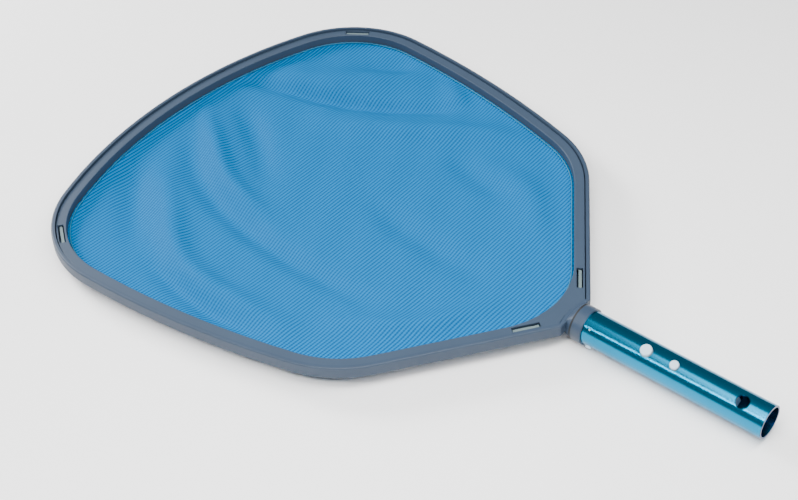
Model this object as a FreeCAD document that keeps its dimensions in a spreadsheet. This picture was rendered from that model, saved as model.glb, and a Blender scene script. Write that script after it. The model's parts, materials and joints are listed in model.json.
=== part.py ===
import FreeCAD, Part
import math
import os
import re
import Sketcher
from FreeCAD import Placement, Rotation, Vector

# Leaf skimmer net. +X runs along the handle to its open end, +Z is the side leaves land on,
# and the origin is the centre of the handle's open end.

doc = FreeCAD.newDocument("leaf_skimmer_net")

# ---------------------------------------------------------------- driving dimensions, mm and degrees
SIZES = {
    # plan outline, measured from the head datum: the point where the two rear edges would end
    "front_reach": 472.0,
    "front_radius": 432.0,
    "front_angle": 21.4,
    "corner_radius": 98.5,
    "corner_angle": 71.0,
    "side_radius": 847.0,
    "side_angle": 14.0,
    "hip_radius": 106.4,
    "hip_angle": 38.4,
    "neck_half_width": 20.7,
    # frame section, heights from the frame's underside
    "rim_width": 3.6,
    "rim_height": 12.6,
    "rim_round": 1.4,
    "keel_round": 3.0,
    "floor_thickness": 1.6,
    "ledge_width": 13.1,
    "groove_gap": 0.7,
    "ring_underside": 2.8,
    "deck_height": 10.7,
    "deck_thickness": 1.8,
    "deck_inner": 13.2,
    "ring_wall": 1.7,
    "deck_round": 0.6,
    "gusset_radius": 85.0,
    "hollow_radius": 60.0,
    # snap slots and tabs
    "slot_length": 24.0,
    "slot_width": 5.4,
    "slot_inset": 8.7,
    "front_slot_angle": 125.4,
    "rear_slot_distance": 26.5,
    "tab_length": 22.0,
    "tab_width": 2.0,
    "tab_height": 7.6,
    "tab_hook": 0.5,
    # net
    "net_thickness": 0.8,
    "net_lift": 1.75,
    "net_edge_inset": 10.6,
    "net_mouth_inset": 13.8,
    "net_sag_side": 5.0,
    "net_sag_middle": 7.5,
    "hem_inset": 13.4,
    "hem_width": 1.3,
    "hem_height": 1.0,
    # neck and handle, distances from the head datum or the open end
    "head_datum": 181.0,
    "axis_height": 4.93,
    "shoulder_start": -2.6,
    "shoulder_end": 6.2,
    "shoulder_step": 0.6,
    "shoulder_half_width": 12.5,
    "shoulder_half_height": 4.6,
    "collar_radius": 15.8,
    "washer_radius": 15.8,
    "washer_thickness": 1.6,
    "collar_length": 9.2,
    "collar_bore_gap": 0.05,
    "tube_radius": 14.3,
    "tube_wall": 1.5,
    "spigot_gap": 0.1,
    "spigot_end": 46.0,
    # clip and buttons
    "clip_tilt": 24.0,
    "clip_pivot": 40.5,
    "clip_radius": 11.0,
    "clip_thickness": 1.8,
    "clip_width": 10.0,
    "clip_gap": 1.2,
    "arm_tail": 8.0,
    "thumb_distance": 108.0,
    "thumb_radius": 4.9,
    "thumb_rise": 2.6,
    "lock_distance": 82.3,
    "lock_radius": 3.8,
    "lock_rise": 2.4,
    "button_round": 1.2,
    "button_gap": 0.6,
    "end_hole_distance": 22.0,
    "end_hole_radius": 5.8,
    # rivets
    "rivet_distance": 158.0,
    "rivet_large_radius": 3.0,
    "rivet_large_rise": 1.6,
    "rivet_large_angle": 133.0,
    "rivet_small_radius": 0.9,
    "rivet_small_rise": 0.5,
    "rivet_small_angle": 50.0,
    "rivet_depth": 5.0,
    "rivet_gap": 0.05,
}

sheet = doc.addObject("Spreadsheet::Sheet", "Sizes")
for row, (alias, number) in enumerate(SIZES.items(), start=1):
    sheet.set("A%d" % row, alias)
    sheet.set("B%d" % row, str(number))
    sheet.setAlias("B%d" % row, alias)
doc.recompute()

parts = []


def size(alias):
    return float(sheet.get(alias))


def total(formula):
    """Number that a sum of aliases, such as 'tube_radius - tube_wall', comes to."""
    terms = re.findall(r"([+-]?) ?([a-z_]+)", formula)
    return sum((-1 if sign == "-" else 1) * size(alias) for sign, alias in terms)


def bind(thing, path, formula):
    """Bind one property to a formula of sheet aliases."""
    thing.setExpression(path, re.sub(r"[a-z_]{2,}", lambda word: "Sizes." + word.group(), formula))


def finish(thing, label, placement=None):
    """Give a sub-part its own label and placement and list it for export."""
    thing.Label = label
    if placement is not None:
        thing.Placement = placement
    parts.append(thing)
    return thing


# ---------------------------------------------------------------- plan outline
START, END, CENTRE = 1, 2, 3
NET_STEP = 0.05
NET_SIDE_SCALE = 0.72
NET_MIDDLE_SCALE = 0.4
DOME_SHARE = 0.9

HEAD = Placement(Vector(-size("head_datum"), 0, -size("axis_height")), Rotation())
REAR_HEADING = math.radians(
    90 - size("front_angle") - size("corner_angle") - size("side_angle") - size("hip_angle"))


def side_arcs(inset):
    """Corner, side and hip arcs of the +Y half, each as (centre, radius, start, end) angles."""
    heading = math.radians(90 - size("front_angle"))
    front = size("front_radius") - inset
    centre_x = size("front_radius") - size("front_reach")
    point = Vector(centre_x - front * math.cos(math.radians(size("front_angle"))),
                   front * math.sin(math.radians(size("front_angle"))), 0)
    arcs = []
    for name in ("corner", "side", "hip"):
        radius = size(name + "_radius") - inset
        centre = point + Vector(radius * math.sin(heading), -radius * math.cos(heading), 0)
        turned = heading - math.radians(size(name + "_angle"))
        arcs.append((centre, radius, turned + math.pi / 2, heading + math.pi / 2))
        point = centre + Vector(-radius * math.sin(turned), radius * math.cos(turned), 0)
        heading = turned
    return arcs, point


def on_rear_edge(inset, across):
    """Point of the +Y rear edge, at the given inset, that lies this far from the middle plane."""
    point = side_arcs(inset)[1]
    run = (across - point.y) / math.sin(REAR_HEADING)
    return point + Vector(run * math.cos(REAR_HEADING), across - point.y, 0)


def arc_edge(centre, radius, start, end):
    return Part.ArcOfCircle(Part.Circle(centre, Vector(0, 0, 1), radius), start, end)


def add_outline(sketch, inset_formula, rear):
    """Add one closed head outline, inset from the outer one by a sum of aliases.

    rear says how it closes at the handle: "flat", "hollow" (curved round the shoulder)
    or "gusset" (a round inner corner).
    """
    inset = total(inset_formula)
    turn = math.radians(size("front_angle"))
    centre_x = size("front_radius") - size("front_reach")
    radius = size("front_radius") - inset
    front = sketch.addGeometry(
        arc_edge(Vector(centre_x, 0, 0), radius, math.pi - turn, math.pi + turn), False)
    arcs, hip_end = side_arcs(inset)
    upper = [sketch.addGeometry(arc_edge(c, r, a, b), False) for c, r, a, b in arcs]
    lower = [sketch.addGeometry(arc_edge(Vector(c.x, -c.y, 0), r, -b, -a), False)
             for c, r, a, b in arcs]
    rear_end, closing = rear_closing(inset, rear)
    mirror_end = Vector(rear_end.x, -rear_end.y, 0)
    edge_up = sketch.addGeometry(Part.LineSegment(hip_end, rear_end), False)
    edge_down = sketch.addGeometry(
        Part.LineSegment(Vector(hip_end.x, -hip_end.y, 0), mirror_end), False)
    close = sketch.addGeometry(closing, False)

    sketch.addConstraint(Sketcher.Constraint("PointOnObject", front, CENTRE, -1))
    chain_up = [(front, START)] + [(g, p) for g in upper for p in (END, START)] + [(edge_up, START)]
    chain_down = [(front, END)] + [(g, p) for g in lower for p in (START, END)] + [(edge_down, START)]
    for chain in (chain_up, chain_down):
        for one, two in zip(chain[0::2], chain[1::2]):
            sketch.addConstraint(Sketcher.Constraint("Tangent", one[0], one[1], two[0], two[1]))
    reach = sketch.addConstraint(
        Sketcher.Constraint("DistanceX", front, CENTRE, -1, 1, -centre_x))
    bind(sketch, "Constraints[%d]" % reach, "front_reach - front_radius")
    for geo, name in zip([front] + upper, ("front", "corner", "side", "hip")):
        fixed = sketch.addConstraint(Sketcher.Constraint("Radius", geo, size(name + "_radius") - inset))
        minus_inset = " - (%s)" % inset_formula if inset_formula else ""
        bind(sketch, "Constraints[%d]" % fixed, name + "_radius" + minus_inset)
    for one, two in zip(upper, lower):
        sketch.addConstraint(Sketcher.Constraint("Equal", one, two))
    ends = (END, START) if rear == "gusset" else (START, END)
    sketch.addConstraint(Sketcher.Constraint("Coincident", edge_up, END, close, ends[0]))
    sketch.addConstraint(Sketcher.Constraint("Coincident", edge_down, END, close, ends[1]))


def rear_closing(inset, rear):
    """End of the +Y rear edge and the curve that joins it to its mirror."""
    if rear == "flat":
        end = on_rear_edge(inset, size("neck_half_width"))
        return end, Part.LineSegment(end, Vector(end.x, -end.y, 0))
    apex = on_rear_edge(inset, 0)
    slope = -REAR_HEADING
    if rear == "gusset":
        radius = size("gusset_radius") + size("deck_inner") - inset
        centre = Vector(apex.x - radius / math.sin(slope), 0, 0)
        end = on_rear_edge(inset, radius * math.cos(slope))
        open_angle = math.atan2(end.y, end.x - centre.x)
        return end, arc_edge(centre, radius, -open_angle, open_angle)
    radius = size("hollow_radius")
    apex_x = size("shoulder_start") - size("shoulder_step") - (inset - size("rim_width"))
    centre = Vector(apex_x + radius, 0, 0)
    lean = 1 / math.tan(REAR_HEADING)
    gap = apex.x - centre.x
    root = math.sqrt((lean * gap) ** 2 - (1 + lean ** 2) * (gap ** 2 - radius ** 2))
    across = (root - lean * gap) / (1 + lean ** 2)
    end = on_rear_edge(inset, across)
    open_angle = math.atan2(end.y, end.x - centre.x)
    return end, arc_edge(centre, radius, open_angle, 2 * math.pi - open_angle)


# ---------------------------------------------------------------- PartDesign helpers
def new_body(name, placement):
    body = doc.addObject("PartDesign::Body", name)
    body.Placement = placement
    return body


def plane_sketch(body, name, role="XY_Plane", height=None):
    """New sketch on one of the body's origin planes, lifted by a formula if one is given."""
    sketch = body.newObject("Sketcher::SketchObject", name)
    plane = [f for f in body.Origin.OriginFeatures if f.Role == role][0]
    sketch.AttachmentSupport = (plane, [""])
    sketch.MapMode = "FlatFace"
    if height is not None:
        bind(sketch, "AttachmentOffset.Base.z", height)
    return sketch


def outline_sketch(body, name, loops, height=None):
    """Sketch of head outlines: each loop is (inset formula, how the rear closes)."""
    sketch = plane_sketch(body, name, height=height)
    for inset_formula, rear in loops:
        add_outline(sketch, inset_formula, rear)
    return sketch


def pad(body, name, sketch, length):
    feature = body.newObject("PartDesign::Pad", name)
    feature.Profile = sketch
    bind(feature, "Length", length)
    doc.recompute()
    return feature


def pocket(body, name, sketch, length=None, upwards=False):
    """Pocket that cuts down from its sketch, or upwards, to a bound depth or through all."""
    feature = body.newObject("PartDesign::Pocket", name)
    feature.Profile = sketch
    feature.Reversed = upwards
    if length is None:
        feature.Type = "ThroughAll"
    else:
        bind(feature, "Length", length)
    doc.recompute()
    return feature


def round_edges(body, name, feature, radius, wanted):
    """Fillet the edges that the wanted(edge) test picks."""
    names = ["Edge%d" % i for i, e in enumerate(feature.Shape.Edges, start=1) if wanted(e)]
    fillet = body.newObject("PartDesign::Fillet", name)
    fillet.Base = (feature, names)
    bind(fillet, "Radius", radius)
    doc.recompute()
    return fillet


def flat_at(height):
    """Test for edges that lie level at this height."""
    return lambda edge: all(abs(v.Point.z - height) < 1e-6 for v in edge.Vertexes)


def add_rectangle(sketch, centre, angle, length, width):
    """Closed rectangle about centre whose long side points along angle (radians)."""
    along = Vector(math.cos(angle), math.sin(angle), 0) * (length / 2)
    across = Vector(-math.sin(angle), math.cos(angle), 0) * (width / 2)
    corners = [centre - along - across, centre + along - across,
               centre + along + across, centre - along + across]
    sides = [sketch.addGeometry(Part.LineSegment(corners[i], corners[(i + 1) % 4]), False)
             for i in range(4)]
    for i in range(4):
        sketch.addConstraint(
            Sketcher.Constraint("Coincident", sides[i], END, sides[(i + 1) % 4], START))


# ---------------------------------------------------------------- snap slot places
def slot_places():
    """Centre and direction of each snap slot in the head's own plane, by name."""
    arcs, _ = side_arcs(0)
    corner, radius = arcs[0][0], arcs[0][1]
    angle = math.radians(size("front_slot_angle"))
    reach = radius - size("slot_inset")
    front = corner + Vector(reach * math.cos(angle), reach * math.sin(angle), 0)
    neck = on_rear_edge(0, size("neck_half_width"))
    back = Vector(math.cos(REAR_HEADING), math.sin(REAR_HEADING), 0) * -size("rear_slot_distance")
    inward = Vector(math.sin(REAR_HEADING), -math.cos(REAR_HEADING), 0) * size("slot_inset")
    rear = neck + back + inward
    places = {}
    for side, sign in (("left", 1), ("right", -1)):
        places["front_" + side] = (Vector(front.x, sign * front.y, 0), sign * (angle - math.pi / 2))
        places["rear_" + side] = (Vector(rear.x, sign * rear.y, 0), sign * REAR_HEADING)
    return places


# ---------------------------------------------------------------- lower frame
def make_lower_frame():
    body = new_body("LowerFrame", HEAD)
    block = pad(body, "LowerBlock", outline_sketch(body, "LowerOutline", [("", "flat")]), "rim_height")
    rim = round_edges(body, "RimRound", block, "rim_round", flat_at(size("rim_height")))
    round_edges(body, "KeelRound", rim, "keel_round", flat_at(0))
    mouth = outline_sketch(body, "MouthOutline", [("ledge_width", "gusset")], "rim_height")
    pocket(body, "Mouth", mouth)
    seat = outline_sketch(body, "SeatOutline", [("rim_width", "hollow")], "rim_height")
    pocket(body, "Seat", seat, "rim_height - floor_thickness")
    add_shoulder(body)
    spigot = plane_sketch(body, "SpigotCircle", "YZ_Plane", "shoulder_end")
    add_circle(spigot, "tube_radius - tube_wall - spigot_gap", size("axis_height"))
    pad(body, "Spigot", spigot, "spigot_end - shoulder_end")
    add_rivet_holes(body)
    finish(body, "lower_frame")


def add_circle(sketch, formula, height):
    """Circle on the handle axis in a sketch on the YZ plane, its radius bound to a formula."""
    radius = total(formula)
    circle = sketch.addGeometry(Part.Circle(Vector(0, height, 0), Vector(0, 0, 1), radius), False)
    fixed = sketch.addConstraint(Sketcher.Constraint("Radius", circle, radius))
    bind(sketch, "Constraints[%d]" % fixed, formula)


def add_shoulder(body):
    """Loft from a wide flat block inside the frame up to the round neck face."""
    start = plane_sketch(body, "ShoulderBlock", "YZ_Plane", "shoulder_start")
    add_rectangle(start, Vector(0, size("axis_height"), 0), 0,
                  2 * size("shoulder_half_width"), 2 * size("shoulder_half_height"))
    face = plane_sketch(body, "ShoulderFace", "YZ_Plane", "shoulder_end")
    middle = Vector(0, size("axis_height"), 0)
    for quarter in range(4):
        first = math.radians(90 * quarter - 135)
        face.addGeometry(arc_edge(middle, size("collar_radius"), first, first + math.pi / 2), False)
    for quarter in range(4):
        face.addConstraint(
            Sketcher.Constraint("Coincident", quarter, END, (quarter + 1) % 4, START))
        fixed = face.addConstraint(Sketcher.Constraint("Radius", quarter, size("collar_radius")))
        bind(face, "Constraints[%d]" % fixed, "collar_radius")
    loft = body.newObject("PartDesign::AdditiveLoft", "Shoulder")
    loft.Profile = start
    loft.Sections = [face]
    loft.Ruled = True
    doc.recompute()


def tilted(angle, distance, rise):
    """Placement whose +Z is a spoke of the handle at this angle from +Z, towards -Y."""
    turn = Rotation(Vector(1, 0, 0), angle)
    return Placement(Vector(-distance, 0, 0) + turn.multVec(Vector(0, 0, rise)), turn)


def add_rivet_holes(body):
    """Blind rivet holes in the spigot, cut as subtractive cylinders."""
    for kind in ("large", "small"):
        hole = body.newObject("PartDesign::SubtractiveCylinder", "Hole_" + kind)
        bind(hole, "Radius", "rivet_%s_radius + rivet_gap" % kind)
        bind(hole, "Height", "tube_radius + rivet_depth")
        hole.Placement = HEAD.inverse().multiply(
            tilted(size("rivet_%s_angle" % kind), size("rivet_distance"),
                   size("tube_radius") - size("rivet_depth")))
        doc.recompute()


# ---------------------------------------------------------------- clamp ring and tabs
def make_clamp_ring():
    body = new_body("ClampRing", HEAD)
    outline = outline_sketch(body, "RingOutline", [("rim_width + groove_gap", "hollow")],
                             "ring_underside")
    block = pad(body, "RingBlock", outline, "deck_height - ring_underside")
    mouth = outline_sketch(body, "RingMouth", [("deck_inner", "gusset")], "deck_height")
    opened = pocket(body, "RingOpening", mouth)
    round_edges(body, "DeckRound", opened, "deck_round", flat_at(size("deck_height")))
    hollow = outline_sketch(
        body, "RingHollow",
        [("rim_width + groove_gap + ring_wall", "hollow"), ("deck_inner - ring_wall", "gusset")],
        "ring_underside")
    pocket(body, "RingChannel", hollow, "deck_height - deck_thickness - ring_underside", upwards=True)
    slots = plane_sketch(body, "SlotOutlines", height="deck_height")
    for centre, angle in slot_places().values():
        add_rectangle(slots, centre, angle, size("slot_length"), size("slot_width"))
    pocket(body, "SnapSlots", slots, "deck_thickness + rim_round")
    finish(body, "clamp_ring")


def make_snap_tabs():
    """Upright catch strip under each slot, with a small hook along its top."""
    for name, (centre, angle) in slot_places().items():
        strip = doc.addObject("Part::Box", "Strip_" + name)
        bind(strip, "Length", "tab_length")
        bind(strip, "Width", "tab_width")
        bind(strip, "Height", "tab_height")
        hook = doc.addObject("Part::Box", "Hook_" + name)
        bind(hook, "Length", "tab_length")
        bind(hook, "Width", "tab_width + tab_hook")
        bind(hook, "Height", "tab_hook")
        hook.Placement = Placement(Vector(0, 0, size("tab_height") - size("tab_hook")), Rotation())
        tab = doc.addObject("Part::Fuse", "Tab_" + name)
        tab.Base = strip
        tab.Tool = hook
        corner = Placement(Vector(-size("tab_length") / 2, -size("tab_width") / 2,
                                  size("floor_thickness")), Rotation())
        turned = Placement(centre, Rotation(Vector(0, 0, 1), math.degrees(angle)))
        finish(tab, "snap_tab_" + name, HEAD.multiply(turned).multiply(corner))


# ---------------------------------------------------------------- net
def net_section(name, inset_formula, scale, height):
    """One level outline of the net, shrunk about the middle of the head."""
    sketch = doc.addObject("Sketcher::SketchObject", name)
    add_outline(sketch, inset_formula, "gusset")
    doc.recompute()
    wire = doc.addObject("Part::Feature", name + "Wire")
    middle = Vector(-size("front_reach") / 2, 0, 0)
    shape = sketch.Shape.copy()
    shape.scale(scale, middle)
    wire.Shape = shape
    wire.Placement = Placement(Vector(0, 0, height), Rotation())
    return wire


def net_bowl(name, levels):
    """Solid bowl lofted through outlines, each (part, inset, scale, height)."""
    loft = doc.addObject("Part::Loft", name)
    loft.Sections = [net_section(name + part, *values) for part, *values in levels]
    loft.Solid = True
    loft.Ruled = True
    return loft


def make_net():
    """Net skin: a level edge under the clamp ring, then two falling bands and a flat middle."""
    floor = size("net_lift")
    top = floor + size("net_thickness")
    side = floor - size("net_sag_side")
    middle = floor - size("net_sag_middle")
    below = net_bowl("NetUnder", [
        ("Top", "net_edge_inset", 1.0, top),
        ("Edge", "net_edge_inset", 1.0, floor),
        ("Mouth", "net_mouth_inset", 1.0, floor - NET_STEP),
        ("Side", "net_mouth_inset", NET_SIDE_SCALE, side),
        ("Middle", "net_mouth_inset", NET_MIDDLE_SCALE, middle)])
    above = net_bowl("NetOver", [
        ("Mouth", "net_mouth_inset", 1.0, top + NET_STEP),
        ("Side", "net_mouth_inset", NET_SIDE_SCALE, side + size("net_thickness")),
        ("Middle", "net_mouth_inset", NET_MIDDLE_SCALE, middle + size("net_thickness"))])
    skin = doc.addObject("Part::Cut", "NetSkin")
    skin.Base = below
    skin.Tool = above
    finish(skin, "net_mesh", HEAD)


def make_net_hem():
    """Thin hem strip stitched along the foot of the clamp ring's inner wall."""
    body = new_body("NetHem", HEAD)
    loops = [("hem_inset", "gusset"), ("hem_inset + hem_width", "gusset")]
    pad(body, "HemStrip", outline_sketch(body, "HemOutline", loops, "ring_underside"), "hem_height")
    finish(body, "net_hem")


# ---------------------------------------------------------------- handle
ALONG = Rotation(Vector(0, 1, 0), 90)


def cylinder(name, radius, length, start):
    """Cylinder along the handle axis that starts this far behind the open end."""
    rod = doc.addObject("Part::Cylinder", name)
    bind(rod, "Radius", radius)
    bind(rod, "Height", length)
    rod.Placement = Placement(Vector(-start, 0, 0), ALONG)
    return rod


def cut(name, base, tool):
    result = doc.addObject("Part::Cut", name)
    result.Base = base
    result.Tool = tool
    return result


def make_handle():
    neck = size("head_datum") - size("shoulder_end")
    washer = cut("Washer", cylinder("WasherDisc", "washer_radius", "washer_thickness", neck),
                 cylinder("WasherBore", "tube_radius - tube_wall", "washer_thickness", neck))
    finish(washer, "neck_washer")
    start = neck - size("washer_thickness")
    collar = cut("Collar", cylinder("CollarDisc", "collar_radius", "collar_length", start),
                 cylinder("CollarBore", "tube_radius + collar_bore_gap", "collar_length", start))
    finish(collar, "collar_ring")
    length = "head_datum - shoulder_end - washer_thickness"
    shell = cut("TubeShell", cylinder("TubeOuter", "tube_radius", length, start),
                cylinder("TubeBore", "tube_radius - tube_wall", length, start))
    drills = doc.addObject("Part::MultiFuse", "TubeDrills")
    tilt = size("clip_tilt")
    through = "tube_radius + button_round"
    drills.Shapes = [
        spoke("ThumbHoleTop", "thumb_radius + button_gap", through, tilt, "thumb", 0),
        spoke("ThumbHoleBottom", "thumb_radius + button_gap", through, tilt + 180, "thumb", 0),
        spoke("LockHoleTop", "lock_radius + button_gap", through, tilt, "lock", 0),
        spoke("LockHoleBottom", "lock_radius + button_gap", through, tilt + 180, "lock", 0),
        spoke("EndHole", "end_hole_radius", through, tilt, "end_hole", 0),
        spoke("RivetHoleLarge", "rivet_large_radius + rivet_gap", through,
              size("rivet_large_angle"), "rivet", 0),
        spoke("RivetHoleSmall", "rivet_small_radius + rivet_gap", through,
              size("rivet_small_angle"), "rivet", 0)]
    finish(cut("Tube", shell, drills), "handle_tube")


def spoke(name, radius, length, angle, place, rise):
    """Cylinder that stands out from the handle axis at a named distance from the open end."""
    rod = doc.addObject("Part::Cylinder", name)
    bind(rod, "Radius", radius)
    bind(rod, "Height", length)
    rod.Placement = tilted(angle, size(place + "_distance"), rise)
    return rod


def make_rivets():
    for kind in ("large", "small"):
        stem = spoke("Rivet_" + kind, "rivet_%s_radius" % kind,
                     "rivet_depth + rivet_%s_rise" % kind, size("rivet_%s_angle" % kind), "rivet",
                     size("tube_radius") - size("rivet_depth"))
        finish(domed(stem, "Dome_" + kind, "rivet_%s_rise" % kind), "rivet_" + kind)


def domed(stem, name, radius):
    """Round the outer rim of a button or rivet."""
    doc.recompute()
    top = stem.Placement.multVec(Vector(0, 0, stem.Height.Value))
    dome = doc.addObject("Part::Fillet", name)
    dome.Base = stem
    dome.Edges = [(i, total(radius) * DOME_SHARE, total(radius) * DOME_SHARE)
                  for i, edge in enumerate(stem.Shape.Edges, start=1)
                  if edge.Closed and (edge.CenterOfMass - top).Length < 1e-6]
    return dome


# ---------------------------------------------------------------- spring clip
def make_clip():
    middle = size("clip_radius") - size("clip_thickness") / 2
    make_clip_bend()
    for side, angle in (("top", size("clip_tilt")), ("bottom", size("clip_tilt") + 180)):
        turn = Rotation(Vector(1, 0, 0), angle)
        length = "thumb_distance - clip_pivot + arm_tail"
        strip = doc.addObject("Part::Box", "Strip_" + side)
        bind(strip, "Length", length)
        bind(strip, "Width", "clip_width")
        bind(strip, "Height", "clip_thickness")
        root = doc.addObject("Part::Cylinder", "Root_" + side)
        bind(root, "Radius", "clip_thickness / 2")
        bind(root, "Height", "clip_width")
        root.Placement = Placement(
            Vector(total(length), size("clip_width"), size("clip_thickness") / 2),
            Rotation(Vector(1, 0, 0), 90))
        arm = doc.addObject("Part::Fuse", "Arm_" + side)
        arm.Base = strip
        arm.Tool = root
        corner = Vector(-size("thumb_distance") - size("arm_tail"), -size("clip_width") / 2,
                        middle - size("clip_thickness") / 2)
        finish(arm, "clip_arm_" + side, Placement(turn.multVec(corner), turn))
        for kind in ("thumb", "lock"):
            stem = spoke("Stem_%s_%s" % (kind, side), kind + "_radius",
                         "tube_radius + %s_rise - clip_radius" % kind, angle, kind,
                         size("clip_radius"))
            button = domed(stem, "Dome_%s_%s" % (kind, side), "button_round")
            finish(button, "%s_button_%s" % (kind, side))


def make_clip_bend():
    """Half ring that joins the two arms, open towards the frame."""
    turn = Rotation(Vector(1, 0, 0), size("clip_tilt"))
    across = Rotation(Vector(1, 0, 0), 90)
    rings = []
    for name, radius in (("BendOuter", "clip_radius"), ("BendInner", "clip_radius - clip_thickness")):
        disc = doc.addObject("Part::Cylinder", name)
        bind(disc, "Radius", radius)
        bind(disc, "Height", "clip_width")
        disc.Angle = 180
        disc.Placement = Placement(
            turn.multVec(Vector(size("clip_gap") - size("clip_pivot"), size("clip_width") / 2, 0)),
            turn.multiply(across).multiply(Rotation(Vector(0, 0, 1), -90)))
        rings.append(disc)
    finish(cut("Bend", *rings), "clip_bend")


# ---------------------------------------------------------------- build, check and export
def export_parts():
    doc.recompute()
    for thing in doc.Objects:
        if "Invalid" in thing.State or "Error" in thing.State:
            raise RuntimeError("broken feature: %s %s" % (thing.Name, thing.State))
    os.makedirs("parts", exist_ok=True)
    for thing in parts:
        if thing.Shape.isNull() or not thing.Shape.isValid():
            raise RuntimeError("bad shape: " + thing.Label)
        thing.Shape.exportStep("parts/%s.step" % thing.Label)
        print(thing.Label, len(thing.Shape.Solids), round(thing.Shape.Volume, 1))


make_lower_frame()
make_clamp_ring()
make_snap_tabs()
make_net()
make_net_hem()
make_handle()
make_rivets()
make_clip()
export_parts()
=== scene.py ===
import json
import math

import bpy
import numpy as np
from mathutils import Euler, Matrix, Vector


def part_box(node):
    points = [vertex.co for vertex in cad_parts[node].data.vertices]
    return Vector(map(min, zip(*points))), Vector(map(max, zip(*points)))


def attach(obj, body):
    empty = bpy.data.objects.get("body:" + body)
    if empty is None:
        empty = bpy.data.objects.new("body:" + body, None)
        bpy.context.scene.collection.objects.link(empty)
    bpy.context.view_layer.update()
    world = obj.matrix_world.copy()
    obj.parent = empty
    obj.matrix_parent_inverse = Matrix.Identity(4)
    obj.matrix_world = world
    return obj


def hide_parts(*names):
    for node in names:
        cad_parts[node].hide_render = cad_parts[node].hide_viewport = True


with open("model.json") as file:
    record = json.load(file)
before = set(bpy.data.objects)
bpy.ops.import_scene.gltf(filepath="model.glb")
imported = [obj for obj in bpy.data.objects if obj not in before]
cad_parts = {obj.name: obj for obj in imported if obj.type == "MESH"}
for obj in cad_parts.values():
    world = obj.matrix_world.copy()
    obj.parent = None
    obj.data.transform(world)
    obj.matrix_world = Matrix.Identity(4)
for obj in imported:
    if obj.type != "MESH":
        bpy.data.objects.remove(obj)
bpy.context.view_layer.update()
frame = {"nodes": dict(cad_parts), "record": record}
NODES = frame["nodes"]

MM = 0.001

# ------------------------------------------------------------------ colours (linear RGB) and finishes
FRAME_GREY = (0.026, 0.044, 0.075)
RING_GREY = (0.030, 0.049, 0.080)
TAB_PALE = (0.12, 0.17, 0.18)
NET_BLUE = (0.0, 0.050, 0.170)
NET_LIGHT = (0.0, 0.185, 0.440)
HEM_BLUE = (0.01, 0.16, 0.30)
TUBE_BLUE = (0.0, 0.200, 0.360)
TUBE_END_BLUE = (0.0, 0.012, 0.110)
TUBE_END_DEPTH = 0.3 * MM
BUTTON_WHITE = (0.46, 0.60, 0.70)
CLIP_WHITE = (0.10, 0.16, 0.24)
# Painted shade: the washer in the neck gap is coloured near black so that the gap reads as a deep shadow
# under any light.
WASHER_SHADE_BLACK = (0.003, 0.004, 0.005)
FLOOR_WHITE = (0.98, 0.98, 0.98)

# net weave and shape, metres
THREAD_PITCH = 2.4 * MM
RIB_PITCH = 3.1 * MM
NET_RINGS = 110
NET_SPOKES = 420
NET_SAG = 6.0 * MM
CLOTH_THICKNESS = 0.35 * MM
NET_BELOW_TOP = 0.45 * MM
NET_DIP = 1.2 * MM
SAG_POWER = 2.2
RING_CROWDING = 0.9
FADE_START = 0.90
FADE_WIDTH = 0.08
LEVEL_SHARE = 0.975
RIPPLE = 0.5 * MM
WEAVE_DRIFT = 2.0 * MM
RIB_SHARE = 0.65

# hem cord, metres
HEM_STEPS = 1400
HEM_SIDES = 6
HEM_RADIUS = 0.55 * MM
HEM_INWARD = 4.6 * MM
HEM_SCALLOP = 0.22 * MM
HEM_WAVES = 260

# plastic grain
MOTTLE_SCALE = 28.0
GRAIN_SCALE = 1400.0
GRAIN_DEPTH = 0.05 * MM

# studio: floor half side, world strength, and the lights as (name, place, length, width, watts)
FLOOR_HALF = 6.0
WORLD_STRENGTH = 0.32
LIGHTS_AIM = (-0.3, 0.0, 0.0)
LIGHTS = [
    ("key", (-1.9, -0.1, 0.75), 0.6, 0.5, 48.0),
    ("top", (-0.2, -0.5, 2.0), 1.2, 1.2, 22.0),
    ("strip_high", (0.0, -0.10, 0.9), 1.6, 0.07, 16.0),
    ("strip_low", (0.0, -0.62, 0.75), 1.6, 0.05, 10.0),
]

# camera: where it stands, how it turns (degrees), and its lens
CAMERA_PLACE = (0.3128, -0.7735, 0.8933)
CAMERA_TURN = (48.114, 1.446, 39.999)
CAMERA_LENS = 70.69
CAMERA_SENSOR = 36.0


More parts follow.
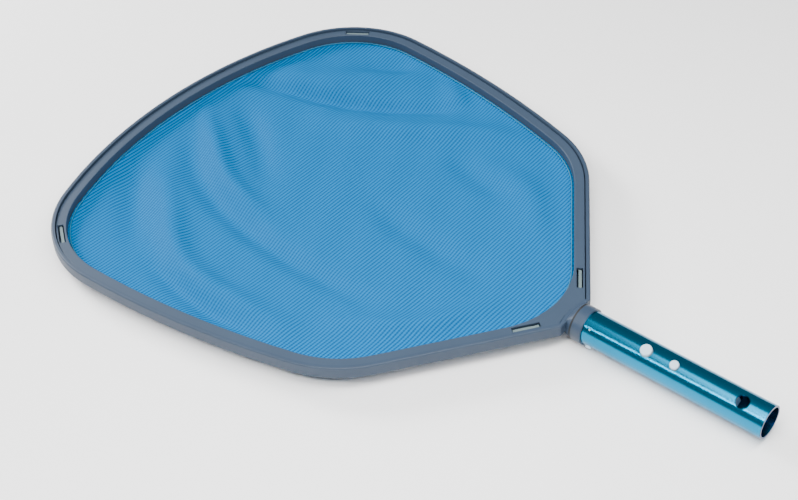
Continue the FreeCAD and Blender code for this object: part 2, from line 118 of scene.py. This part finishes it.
# ------------------------------------------------------------------ node helpers
class Nodes:
    """A material's node tree, with short calls that add and link nodes."""

    def __init__(self, name):
        self.material = bpy.data.materials.new(name)
        self.material.use_nodes = True
        self.tree = self.material.node_tree
        self.shader = self.tree.nodes["Principled BSDF"]

    def add(self, kind, settings=None, **inputs):
        node = self.tree.nodes.new(kind)
        for key, value in (settings or {}).items():
            setattr(node, key, value)
        for key, value in inputs.items():
            self.put(node.inputs[key.replace("_", " ")], value)
        return node

    def put(self, socket, value):
        if isinstance(value, bpy.types.NodeSocket):
            self.tree.links.new(value, socket)
        elif isinstance(value, tuple) and len(value) == 3 and socket.type == "RGBA":
            socket.default_value = (*value, 1.0)
        else:
            socket.default_value = value

    def math(self, operation, first, second=0.0):
        node = self.tree.nodes.new("ShaderNodeMath")
        node.operation = operation
        self.put(node.inputs[0], first)
        self.put(node.inputs[1], second)
        return node.outputs[0]

    def mix(self, factor, first, second):
        node = self.tree.nodes.new("ShaderNodeMix")
        node.data_type = "RGBA"
        self.put(node.inputs["Factor"], factor)
        self.put(node.inputs[6], first)
        self.put(node.inputs[7], second)
        return node.outputs[2]

    def place(self):
        return self.add("ShaderNodeTexCoord").outputs["Object"]

    def axes(self, vector):
        return self.add("ShaderNodeSeparateXYZ", Vector=vector).outputs

    def noise(self, vector, scale, detail=4.0, roughness=0.55):
        return self.add("ShaderNodeTexNoise", Vector=vector, Scale=scale, Detail=detail,
                        Roughness=roughness).outputs["Fac"]

    def bump(self, height, strength, distance):
        node = self.add("ShaderNodeBump", Height=height, Strength=strength, Distance=distance)
        self.put(self.shader.inputs["Normal"], node.outputs["Normal"])

    def set(self, **inputs):
        for key, value in inputs.items():
            self.put(self.shader.inputs[key.replace("_", " ")], value)


def plastic(name, colour, roughness=0.48, grain=0.25):
    """Moulded plastic: faint mottling and fine grain."""
    made = Nodes(name)
    place = made.place()
    mottle = made.noise(place, MOTTLE_SCALE)
    fine = made.noise(place, GRAIN_SCALE, detail=2.0)
    darker = tuple(0.90 * c for c in colour)
    lighter = tuple(min(1.0, 1.08 * c) for c in colour)
    made.set(Base_Color=made.mix(mottle, darker, lighter),
             Roughness=made.math("ADD", made.math("MULTIPLY", fine, 0.12), roughness - 0.06))
    made.bump(fine, grain, GRAIN_DEPTH)
    made.shader.inputs["Specular IOR Level"].default_value = 0.35
    return made.material


def net_material():
    """Woven mesh: ribs across the net, finer threads both ways and small dark holes."""
    made = Nodes("net_cloth")
    place = made.place()
    wobble = made.noise(place, 9.0, detail=2.0)
    x, y, _ = made.axes(place)
    drift = made.math("MULTIPLY", wobble, WEAVE_DRIFT)
    ribs = thread(made, made.math("ADD", x, drift), RIB_PITCH)
    across = thread(made, made.math("ADD", x, drift), THREAD_PITCH / 2)
    along = thread(made, made.math("ADD", y, drift), THREAD_PITCH)
    grid = made.math("MULTIPLY", across, along)
    weave = made.math("ADD", made.math("MULTIPLY", ribs, RIB_SHARE),
                      made.math("MULTIPLY", grid, 1 - RIB_SHARE))
    made.set(Base_Color=made.mix(weave, NET_BLUE, NET_LIGHT), Roughness=0.55)
    made.bump(weave, 0.5, 0.4 * MM)
    made.shader.inputs["Specular IOR Level"].default_value = 0.02
    return made.material


def thread(made, coordinate, pitch):
    """0 to 1 wave of that pitch along one coordinate."""
    angle = made.math("MULTIPLY", coordinate, 2 * math.pi / pitch)
    return made.math("ADD", made.math("MULTIPLY", made.math("SINE", angle), 0.5), 0.5)


def tube_material():
    """Bright anodised aluminium: fine drawn lines along the tube."""
    made = Nodes("tube_metal")
    place = made.place()
    stretch = made.add("ShaderNodeMapping", Vector=place)
    stretch.inputs["Scale"].default_value = (1.5, 420.0, 420.0)
    lines = made.noise(stretch.outputs["Vector"], 1.0, detail=3.0)
    drawn = made.mix(lines, tuple(0.92 * c for c in TUBE_BLUE), TUBE_BLUE)
    at_end = made.math("GREATER_THAN", made.axes(place)[0], -TUBE_END_DEPTH)
    made.set(Base_Color=made.mix(at_end, drawn, TUBE_END_BLUE),
             Metallic=made.math("SUBTRACT", 1.0, at_end),
             Roughness=made.math("ADD", made.math("MULTIPLY", lines, 0.10), 0.17))
    made.bump(lines, 0.05, 0.02 * MM)
    return made.material


# Washer in the neck gap: its near-black base colour is painted shade of the gap; the grain and roughness
# are its surface.
def washer_shade_material():
    made = Nodes("washer_rubber")
    grain = made.noise(made.place(), 900.0)
    made.set(Base_Color=WASHER_SHADE_BLACK, Roughness=made.math("ADD", made.math("MULTIPLY", grain, 0.2), 0.6))
    made.bump(grain, 0.2, 0.05 * MM)
    return made.material


def steel_material():
    made = Nodes("rivet_steel")
    grain = made.noise(made.place(), 700.0)
    made.set(Base_Color=(0.62, 0.68, 0.74), Metallic=1.0,
             Roughness=made.math("ADD", made.math("MULTIPLY", grain, 0.2), 0.2))
    return made.material


def paint_cad():
    """Give each record slot its material on every CAD node."""
    made = {
        "frame_plastic": plastic("frame_plastic", FRAME_GREY),
        "ring_plastic": plastic("ring_plastic", RING_GREY),
        "collar_plastic": plastic("collar_plastic", FRAME_GREY, roughness=0.36),
        "tab_plastic": plastic("tab_plastic", TAB_PALE, roughness=0.35),
        "washer_rubber": washer_shade_material(),
        "tube_metal": tube_material(),
        "rivet_white": plastic("rivet_white", BUTTON_WHITE, roughness=0.3),
        "rivet_steel": steel_material(),
        "clip_plastic": plastic("clip_plastic", CLIP_WHITE, roughness=0.4),
        "button_plastic": plastic("button_plastic", BUTTON_WHITE, roughness=0.32, grain=0.1),
    }
    for entry in frame["record"]["subparts"]:
        node = NODES[entry["node"]]
        if entry["material_slot"] in made:
            node.data.materials.clear()
            node.data.materials.append(made[entry["material_slot"]])
        smooth(node)


def smooth(node, angle=32.0):
    """Smooth shading that keeps edges sharper than this angle in degrees."""
    node.data.shade_smooth()
    for edge in edges_over(node.data, math.radians(angle)):
        edge.use_edge_sharp = True


def edges_over(mesh, limit):
    """Edges whose two faces meet at more than this angle."""
    faces = {}
    for polygon in mesh.polygons:
        for key in polygon.edge_keys:
            faces.setdefault(key, []).append(polygon.normal.copy())
    return [edge for edge in mesh.edges
            if len(faces.get(edge.key, [])) == 2
            and faces[edge.key][0].angle(faces[edge.key][1], 0.0) > limit]


# ------------------------------------------------------------------ net cloth
# Folds of the cloth: crest or valley lines in plan, millimetres from the head datum, then the
# height (negative for a valley) and the half width, both in millimetres.
HEAD_DATUM = -0.181
FOLDS = [
    ([(-452, 76), (-405, 92), (-350, 112), (-295, 142), (-240, 180)], -5.5, 6.5),
    ([(-440, 98), (-390, 122), (-345, 158), (-310, 192)], 5.0, 13.0),
    ([(-370, 166), (-325, 196)], -3.6, 8.0),
    ([(-360, 74), (-290, 104), (-220, 148), (-165, 172)], 5.4, 11.0),
    ([(-178, 124), (-122, 108), (-78, 56)], 3.4, 10.0),
    ([(-215, 112), (-140, 92)], -3.0, 9.0),
    ([(-430, 50), (-378, 22), (-322, -24)], -4.6, 9.0),
    ([(-448, 24), (-405, -8), (-350, -42), (-290, -56)], 4.8, 7.0),
    ([(-430, -20), (-372, -58), (-310, -76), (-235, -84), (-140, -84)], -5.0, 8.0),
    ([(-414, -64), (-372, -96), (-330, -132), (-275, -152), (-170, -150)], 5.2, 8.5),
    ([(-434, -84), (-392, -122), (-350, -162)], -4.4, 10.0),
    ([(-240, 24), (-185, 8), (-90, -2)], -3.4, 10.0),
    ([(-330, -166), (-255, -176), (-190, -174)], -3.8, 6.5),
    ([(-160, -122), (-98, -82), (-62, -18)], 4.0, 9.5),
    ([(-285, 198), (-250, 170)], 3.0, 8.0),
]
BLOB_STEP = 4.0 * MM
FOLD_GAIN = 1.35


def hull(points):
    """Convex hull of plan points, anticlockwise."""
    points = sorted(set(map(tuple, np.round(points, 6))))
    halves = []
    for ordered in (points, points[::-1]):
        half = []
        for p in ordered:
            while len(half) > 1 and turn(half[-2], half[-1], p) <= 0:
                half.pop()
            half.append(p)
        halves.append(half[:-1])
    return np.array(halves[0] + halves[1])


def turn(a, b, c):
    """Positive when a, b, c turn left."""
    return (b[0] - a[0]) * (c[1] - a[1]) - (b[1] - a[1]) * (c[0] - a[0])


def rim_points():
    """The net's outer edge, from the CAD net, as evenly spaced points in plan, and its middle."""
    verts = np.array([v.co for v in NODES["net_mesh"].data.vertices], float)
    rim = hull(verts[:, :2])
    middle = (rim.min(0) + rim.max(0)) / 2
    closed = np.vstack([rim, rim[:1]])
    walk = np.r_[0, np.cumsum(np.hypot(*np.diff(closed, axis=0).T))]
    steps = np.linspace(0, walk[-1], NET_SPOKES, endpoint=False)
    return np.stack([np.interp(steps, walk, closed[:, i]) for i in (0, 1)], 1), middle


def smooth_line(points):
    """Evenly spaced points on a Catmull-Rom curve through the given ones."""
    ends = [2 * points[0] - points[1]]
    guide = np.vstack([ends, points, [2 * points[-1] - points[-2]]])
    curve = []
    for i in range(1, len(guide) - 2):
        a, b, c, d = guide[i - 1:i + 3]
        for t in np.linspace(0, 1, 24, endpoint=False):
            curve.append(0.5 * (2 * b + (c - a) * t + (2 * a - 5 * b + 4 * c - d) * t ** 2
                                + (3 * b - a - 3 * c + d) * t ** 3))
    curve = np.array(curve + [guide[-2]])
    walk = np.r_[0, np.cumsum(np.hypot(*np.diff(curve, axis=0).T))]
    steps = np.arange(0, walk[-1], BLOB_STEP)
    return np.stack([np.interp(steps, walk, curve[:, i]) for i in (0, 1)], 1)


def fold_height(plan):
    """Height of all folds at each plan point, in metres: soft blobs strung along each line."""
    height = np.zeros(len(plan))
    for line, rise, half_width in FOLDS:
        blobs = smooth_line(np.array(line, float) * MM + (HEAD_DATUM, 0))
        share = (np.arange(len(blobs)) + 0.5) / len(blobs)
        strength = np.sin(math.pi * share) ** 0.6
        spread = half_width * MM
        weight = BLOB_STEP / (spread * math.sqrt(2 * math.pi))
        for blob, part in zip(blobs, strength):
            gap = (plan[:, 0] - blob[0]) ** 2 + (plan[:, 1] - blob[1]) ** 2
            height += FOLD_GAIN * rise * MM * part * weight * np.exp(-0.5 * gap / spread ** 2)
    return height


def build_net():
    """Net cloth held level at its rim, sagging in the middle, with folds."""
    rim, middle = rim_points()
    shares = np.linspace(0, 1, NET_RINGS + 1)[1:] ** RING_CROWDING
    plan = np.vstack([middle] + [middle + (rim - middle) * share for share in shares])
    share_of = np.r_[0, np.repeat(shares, NET_SPOKES)]
    edge_fade = 1 - np.clip((share_of - FADE_START) / FADE_WIDTH, 0, 1) ** 2
    edge_fade = np.where(share_of > LEVEL_SHARE, 0.0, edge_fade)
    depth = NET_SAG * (1 - share_of ** SAG_POWER) + NET_DIP * edge_fade
    rim_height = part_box("net_mesh")[1].z - NET_BELOW_TOP
    ripple = RIPPLE * np.sin(plan[:, 0] * 95) * np.sin(plan[:, 1] * 71 + plan[:, 0] * 40)
    height = rim_height - depth + (fold_height(plan) + ripple) * edge_fade
    verts = np.column_stack([plan, height])
    faces = [(0, 1 + i, 1 + (i + 1) % NET_SPOKES) for i in range(NET_SPOKES)]
    for ring in range(NET_RINGS - 1):
        low = 1 + ring * NET_SPOKES
        for i in range(NET_SPOKES):
            j = (i + 1) % NET_SPOKES
            faces.append((low + i, low + NET_SPOKES + i, low + NET_SPOKES + j, low + j))
    mesh = bpy.data.meshes.new("net_sheet")
    mesh.from_pydata(verts.tolist(), [], faces)
    mesh.update()
    net = bpy.data.objects.new("net_sheet", mesh)
    bpy.context.scene.collection.objects.link(net)
    mesh.shade_smooth()
    thick = net.modifiers.new("thickness", "SOLIDIFY")
    thick.thickness = CLOTH_THICKNESS
    thick.offset = 0.0
    mesh.materials.append(net_material())
    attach(net, "skimmer")
    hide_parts("net_mesh")


# ------------------------------------------------------------------ hem
def build_hem():
    """Scalloped hem cord inside the clamp ring's inner wall, 1.3 mm further in than the CAD hem."""
    rim, middle = rim_points()
    low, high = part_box("net_hem")
    level = (low.z + high.z) / 2
    ring = []
    turns = np.arange(HEM_STEPS) / HEM_STEPS * len(rim)
    tangent = np.roll(rim, -1, axis=0) - np.roll(rim, 1, axis=0)
    tangent /= np.hypot(*tangent.T)[:, None]
    normal = np.stack([-tangent[:, 1], tangent[:, 0]], 1)
    base = rim + normal * HEM_INWARD
    index = np.arange(len(rim))
    for step, at in enumerate(turns):
        x = np.interp(at, np.r_[index, len(rim)], np.r_[base[:, 0], base[0, 0]])
        y = np.interp(at, np.r_[index, len(rim)], np.r_[base[:, 1], base[0, 1]])
        lift = HEM_SCALLOP * math.sin(step * 2 * math.pi * HEM_WAVES / HEM_STEPS)
        ring.append((x, y, level + lift))
    verts, faces = [], []
    ring_xy = np.array(ring)
    ahead = np.roll(ring_xy, -1, axis=0) - np.roll(ring_xy, 1, axis=0)
    ahead /= np.linalg.norm(ahead, axis=1)[:, None]
    for point, along in zip(ring_xy, ahead):
        side = np.array([-along[1], along[0], 0.0])
        for k in range(HEM_SIDES):
            angle = 2 * math.pi * k / HEM_SIDES
            outward = math.cos(angle) * side + math.sin(angle) * np.array([0, 0, 1.0])
            verts.append(point + HEM_RADIUS * outward)
    for i in range(HEM_STEPS):
        j = (i + 1) % HEM_STEPS
        for k in range(HEM_SIDES):
            n = (k + 1) % HEM_SIDES
            faces.append((i * HEM_SIDES + k, j * HEM_SIDES + k, j * HEM_SIDES + n, i * HEM_SIDES + n))
    mesh = bpy.data.meshes.new("hem_cord")
    mesh.from_pydata([tuple(v) for v in verts], [], faces)
    mesh.update()
    mesh.shade_smooth()
    hem = bpy.data.objects.new("hem_cord", mesh)
    bpy.context.scene.collection.objects.link(hem)
    mesh.materials.append(hem_material())
    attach(hem, "skimmer")
    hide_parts("net_hem")


def hem_material():
    made = Nodes("hem_thread")
    twist = made.noise(made.place(), 500.0)
    made.set(Base_Color=made.mix(twist, tuple(0.6 * c for c in HEM_BLUE), HEM_BLUE), Roughness=0.6)
    made.bump(twist, 0.4, 0.2 * MM)
    return made.material


# ------------------------------------------------------------------ stage
def build_stage():
    """Pale floor through the frame's lowest level, at the neck, and the lower thumb button,
    then lights and camera. The head's front edge stays about 11 mm above the floor."""
    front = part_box("lower_frame")[0]
    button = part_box("thumb_button_bottom")
    rest_x = (button[0].x + button[1].x) / 2
    slope = (button[0].z - front.z) / (rest_x - front.x)
    floor_mesh = bpy.data.meshes.new("floor")
    level = [front.z + slope * (x - front.x) for x in (-FLOOR_HALF, FLOOR_HALF)]
    corners = [(-FLOOR_HALF, -FLOOR_HALF, level[0]), (FLOOR_HALF, -FLOOR_HALF, level[1]),
               (FLOOR_HALF, FLOOR_HALF, level[1]), (-FLOOR_HALF, FLOOR_HALF, level[0])]
    floor_mesh.from_pydata(corners, [], [(0, 1, 2, 3)])
    floor = bpy.data.objects.new("floor", floor_mesh)
    bpy.context.scene.collection.objects.link(floor)
    paint = Nodes("floor_paint")
    soft = paint.noise(paint.place(), 3.0)
    paint.set(Base_Color=paint.mix(soft, tuple(0.99 * c for c in FLOOR_WHITE), FLOOR_WHITE),
              Roughness=0.9)
    floor_mesh.materials.append(paint.material)
    for light in LIGHTS:
        add_light(*light)
    world = bpy.data.worlds.new("studio")
    world.use_nodes = True
    world.node_tree.nodes["Background"].inputs["Color"].default_value = (1.0, 1.0, 1.0, 1.0)
    world.node_tree.nodes["Background"].inputs["Strength"].default_value = WORLD_STRENGTH
    bpy.context.scene.world = world
    camera_data = bpy.data.cameras.new("camera")
    camera_data.lens = CAMERA_LENS
    camera_data.sensor_width = CAMERA_SENSOR
    camera_data.clip_start = 0.01
    camera = bpy.data.objects.new("camera", camera_data)
    camera.location = CAMERA_PLACE
    camera.rotation_euler = Euler([math.radians(a) for a in CAMERA_TURN], "XYZ")
    bpy.context.scene.collection.objects.link(camera)
    bpy.context.scene.camera = camera


def add_light(name, place, length, width, power):
    """Rectangular soft light that faces the middle of the object."""
    data = bpy.data.lights.new(name, "AREA")
    data.shape = "RECTANGLE"
    data.size = length
    data.size_y = width
    data.energy = power
    light = bpy.data.objects.new(name, data)
    light.location = place
    aim = Vector(LIGHTS_AIM) - Vector(place)
    light.rotation_euler = aim.to_track_quat("-Z", "Y").to_euler()
    bpy.context.scene.collection.objects.link(light)


paint_cad()
build_net()
build_hem()
build_stage()
